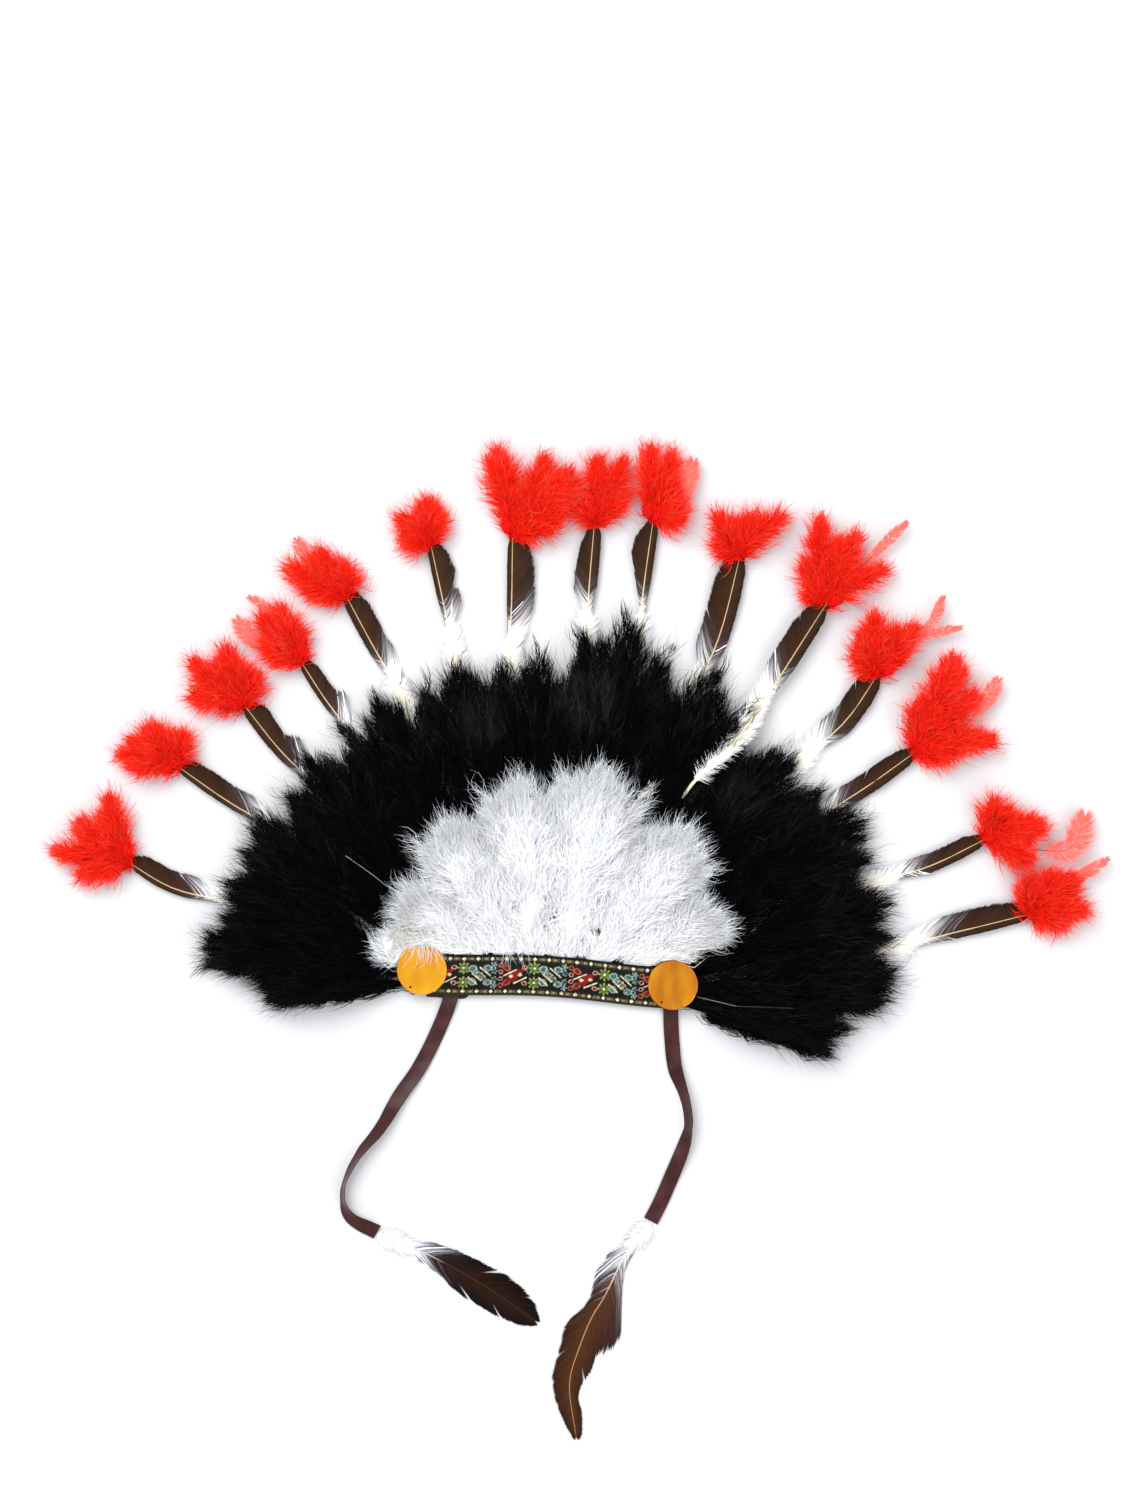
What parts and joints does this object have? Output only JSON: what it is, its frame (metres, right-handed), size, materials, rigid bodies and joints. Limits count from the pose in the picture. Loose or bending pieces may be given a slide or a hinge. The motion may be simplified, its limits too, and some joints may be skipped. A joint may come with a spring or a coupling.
{
  "type": "feathered headdress",
  "caption": "Costume headdress laid flat: fan of banded feathers with red down tips over black and white plumes, woven brow band, discs, ribbon ties.",
  "frame": {"origin": "on the back of the backing strip, midway between the two brow discs, at the level of the table", "axes": "+X along the brow band to the wearer's left side as laid face up, +Y from the band to the top of the feather crown, +Z out of the face of the headdress"},
  "size_m": [0.7036, 0.6673, 0.034],
  "materials": {
    "black_marabou": "soft matte down",
    "white_marabou": "soft matte down",
    "red_marabou": "soft matte down",
    "barred_feather": "satin brown vane, cream quill",
    "tie_feather": "satin brown vane, pale shaft",
    "jacquard": "woven, metallic threads",
    "backing_felt": "matte",
    "satin_ribbon": "satin",
    "sequin": "glossy"
  },
  "bodies": {
    "root": {"backing_strip": "backing_felt", "brow_band": "jacquard", "disc_left": "sequin", "disc_right": "sequin", "tie_ribbon_left": "satin_ribbon", "tie_ribbon_right": "satin_ribbon", "tie_feather_left": "tie_feather", "tie_feather_right": "tie_feather", "outer_feather_01": "barred_feather", "red_tip_01": "red_marabou", "outer_feather_02": "barred_feather", "red_tip_02": "red_marabou", "outer_feather_03": "barred_feather", "red_tip_03": "red_marabou", "outer_feather_04": "barred_feather", "red_tip_04": "red_marabou", "outer_feather_05": "barred_feather", "red_tip_05": "red_marabou", "outer_feather_06": "barred_feather", "red_tip_06": "red_marabou", "outer_feather_07": "barred_feather", "red_tip_07": "red_marabou", "outer_feather_08": "barred_feather", "red_tip_08": "red_marabou", "outer_feather_09": "barred_feather", "red_tip_09": "red_marabou", "outer_feather_10": "barred_feather", "red_tip_10": "red_marabou", "outer_feather_11": "barred_feather", "red_tip_11": "red_marabou", "outer_feather_12": "barred_feather", "red_tip_12": "red_marabou", "outer_feather_13": "barred_feather", "red_tip_13": "red_marabou", "outer_feather_14": "barred_feather", "red_tip_14": "red_marabou", "outer_feather_15": "barred_feather", "red_tip_15": "red_marabou", "black_plume_01": "black_marabou", "black_plume_02": "black_marabou", "black_plume_03": "black_marabou", "black_plume_04": "black_marabou", "black_plume_05": "black_marabou", "black_plume_06": "black_marabou", "black_plume_07": "black_marabou", "black_plume_08": "black_marabou", "black_plume_09": "black_marabou", "black_plume_10": "black_marabou", "black_plume_11": "black_marabou", "black_plume_12": "black_marabou", "black_plume_13": "black_marabou", "black_plume_14": "black_marabou", "black_plume_15": "black_marabou", "white_plume_01": "white_marabou", "white_plume_02": "white_marabou", "white_plume_03": "white_marabou", "white_plume_04": "white_marabou", "white_plume_05": "white_marabou", "white_plume_06": "white_marabou", "white_plume_07": "white_marabou"}
  },
  "joints": []
}
